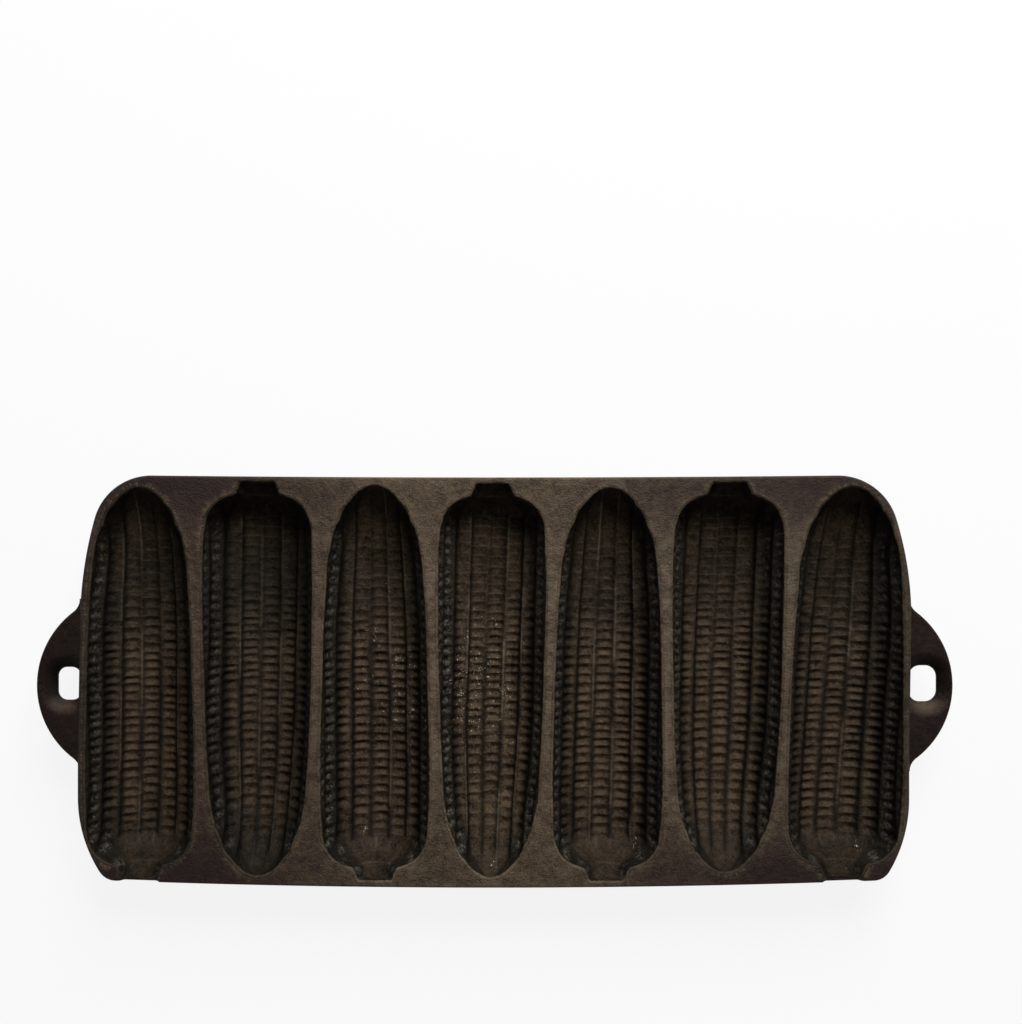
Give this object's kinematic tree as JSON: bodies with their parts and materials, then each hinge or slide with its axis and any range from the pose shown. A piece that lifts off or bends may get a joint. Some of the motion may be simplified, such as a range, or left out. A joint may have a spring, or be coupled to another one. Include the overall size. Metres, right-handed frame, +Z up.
{
  "type": "corn stick pan",
  "caption": "Cast iron baking pan with half-round moulds shaped like ears of corn, set head to tail, and a slotted lug at each end.",
  "frame": {"origin": "on the surface that the pan stands on, below the middle of its box", "axes": "+X along the row of moulds to the right of the picture, +Y across it to the picture's top, +Z up, out of the moulds' mouths"},
  "size_m": [0.3382, 0.152, 0.0233],
  "materials": {
    "seasoned_iron": "sand-cast surface, seasoned dark brown-black, satin"
  },
  "bodies": {
    "root": {"deck_plate": "seasoned_iron", "ear_cup_1": "seasoned_iron", "ear_cup_2": "seasoned_iron", "ear_cup_3": "seasoned_iron", "ear_cup_4": "seasoned_iron", "ear_cup_5": "seasoned_iron", "ear_cup_6": "seasoned_iron", "ear_cup_7": "seasoned_iron", "left_handle": "seasoned_iron", "right_handle": "seasoned_iron"}
  },
  "joints": []
}
